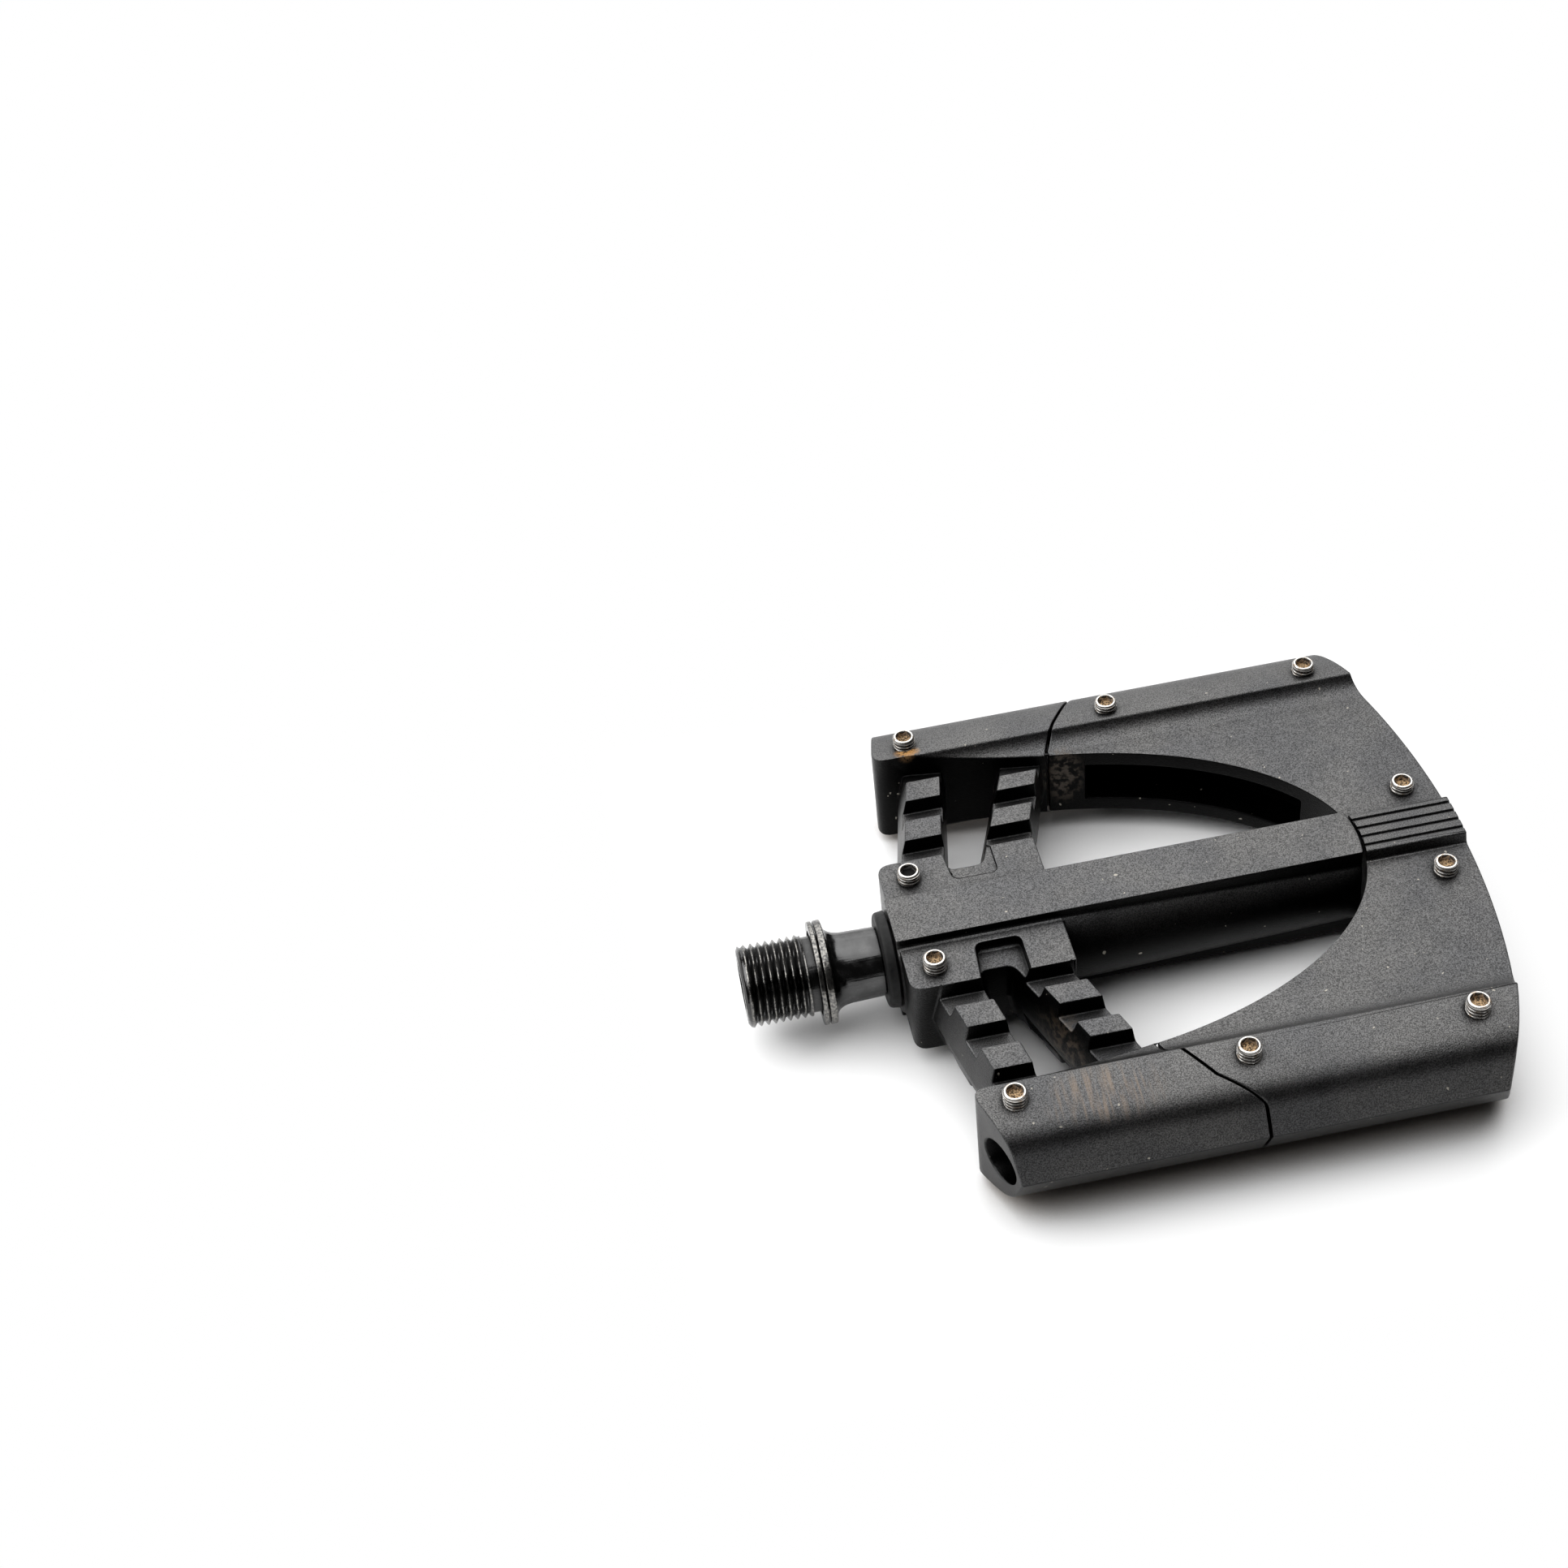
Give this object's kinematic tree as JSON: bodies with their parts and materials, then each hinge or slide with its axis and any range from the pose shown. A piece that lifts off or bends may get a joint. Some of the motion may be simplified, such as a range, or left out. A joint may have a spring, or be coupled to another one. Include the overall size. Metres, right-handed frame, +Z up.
{
  "type": "flat bicycle pedal",
  "caption": "Two-sided flat bicycle pedal: forged body with stepped arms, bolted outer cage with an arched window, steel traction pins and a threaded steel spindle.",
  "frame": {"origin": "middle of the pedal's bounding box, on the spindle's axis", "axes": "+X along the spindle from the crank to the outboard rim, +Y across the platform, +Z up out of the platform"},
  "size_m": [0.126, 0.1046, 0.023],
  "materials": {
    "black_alloy": "satin black anodised, fine grained",
    "black_steel": "black oxide, semi-gloss",
    "bearing_steel": "ground",
    "pin_steel": "worn plating, rusty in the key holes",
    "black_rubber": "matt",
    "black_plastic": "moulded, matt",
    "bronze": "sintered bearing bronze"
  },
  "bodies": {
    "platform": {"pedal_body": "black_alloy", "outer_cage": "black_alloy", "spindle_seal": "black_rubber", "spindle_bush": "bronze", "bearing_outer_race": "bearing_steel", "bearing_shield_inboard": "black_rubber", "bearing_shield_outboard": "black_rubber", "end_plug": "black_plastic", "end_plug_ring": "black_rubber", "cage_bolt_near": "black_steel", "cage_bolt_far": "black_steel", "pin_near_rail_inboard_top": "pin_steel", "pin_near_rail_inboard_bottom": "pin_steel", "pin_near_rail_middle_top": "pin_steel", "pin_near_rail_middle_bottom": "pin_steel", "pin_near_rail_outboard_top": "pin_steel", "pin_near_rail_outboard_bottom": "pin_steel", "pin_near_rim_top": "pin_steel", "pin_near_rim_bottom": "pin_steel", "pin_near_hub_top": "pin_steel", "pin_near_hub_bottom": "pin_steel", "pin_far_rail_inboard_top": "pin_steel", "pin_far_rail_inboard_bottom": "pin_steel", "pin_far_rail_middle_top": "pin_steel", "pin_far_rail_middle_bottom": "pin_steel", "pin_far_rail_outboard_top": "pin_steel", "pin_far_rail_outboard_bottom": "pin_steel", "pin_far_rim_top": "pin_steel", "pin_far_rim_bottom": "pin_steel", "pin_far_hub_top": "pin_steel", "pin_far_hub_bottom": "pin_steel"},
    "spindle": {"spindle": "black_steel", "crank_washer": "black_steel", "bearing_inner_race": "bearing_steel", "lock_washer": "bearing_steel", "lock_nut": "bearing_steel"},
    "ball_ring": {"bearing_ball_ring": "bearing_steel"}
  },
  "joints": [
    {"name": "spindle_spin", "type": "hinge", "parent": "platform", "child": "spindle", "pos_m": [0, 0, 0], "axis": [1, 0, 0], "continuous": true},
    {"name": "ball_ring_spin", "type": "hinge", "parent": "platform", "child": "ball_ring", "pos_m": [0, 0, 0], "axis": [1, 0, 0], "continuous": true}
  ],
  "couplings": [
    {"joint": "ball_ring_spin", "follows": "spindle_spin", "ratio": 0.4048}
  ]
}
